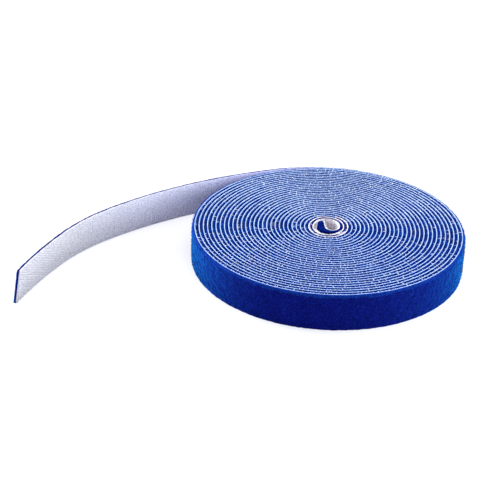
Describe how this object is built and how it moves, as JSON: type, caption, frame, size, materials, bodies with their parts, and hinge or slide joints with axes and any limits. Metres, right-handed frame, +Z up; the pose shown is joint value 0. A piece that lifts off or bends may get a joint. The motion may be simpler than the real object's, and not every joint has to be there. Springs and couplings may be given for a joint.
{
  "type": "hook and loop cable tie",
  "caption": "Flat roll of back-to-back hook and loop tie tape: blue loop pile outside, white hook tape inside, its free end drawn off in a long bend on its edge.",
  "frame": {"origin": "on the table, under the middle of the outline of roll and free end", "axes": "+X from the tip of the free end towards the roll, +Z up along the tape's width, -Y towards the side that the free end's hook face looks at"},
  "size_m": [0.219, 0.1402, 0.019],
  "materials": {
    "loop_pile": "soft napped nylon loop pile, royal blue",
    "hook_side": "white woven tape covered in rows of fine plastic hooks"
  },
  "bodies": {
    "root": {"loop_tape": "loop_pile", "hook_tape": "hook_side"}
  },
  "joints": []
}
